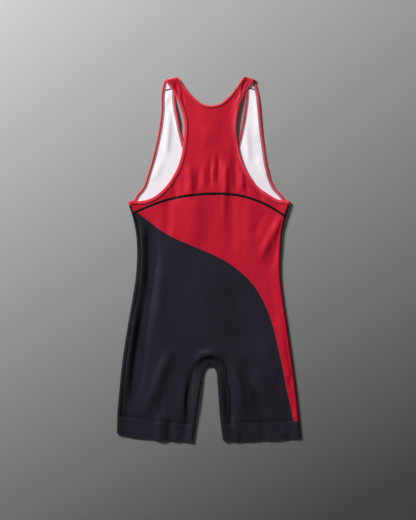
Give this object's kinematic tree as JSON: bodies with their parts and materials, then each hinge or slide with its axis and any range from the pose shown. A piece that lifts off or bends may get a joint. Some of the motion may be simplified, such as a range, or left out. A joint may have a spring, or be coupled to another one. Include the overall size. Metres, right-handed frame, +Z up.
{
  "type": "wrestling singlet laid flat",
  "caption": "Sleeveless one-piece sports suit with a racerback, bound neck and armholes and banded legs, laid flat with its back up.",
  "frame": {"origin": "centre of the bounding box, on the surface the garment lies on", "axes": "+Z up out of the back of the garment, +Y towards the shoulders"},
  "size_m": [0.4028, 0.8018, 0.0068],
  "materials": {
    "red_knit": "matte",
    "binding_red": "matte",
    "navy_knit": "matte"
  },
  "bodies": {
    "root": {"front_panel": "red_knit", "back_panel": "navy_knit", "back_yoke": "red_knit", "armhole_binding_left": "binding_red", "armhole_binding_right": "binding_red", "neck_binding": "binding_red", "leg_band_left": "navy_knit", "leg_band_right": "navy_knit"}
  },
  "joints": []
}
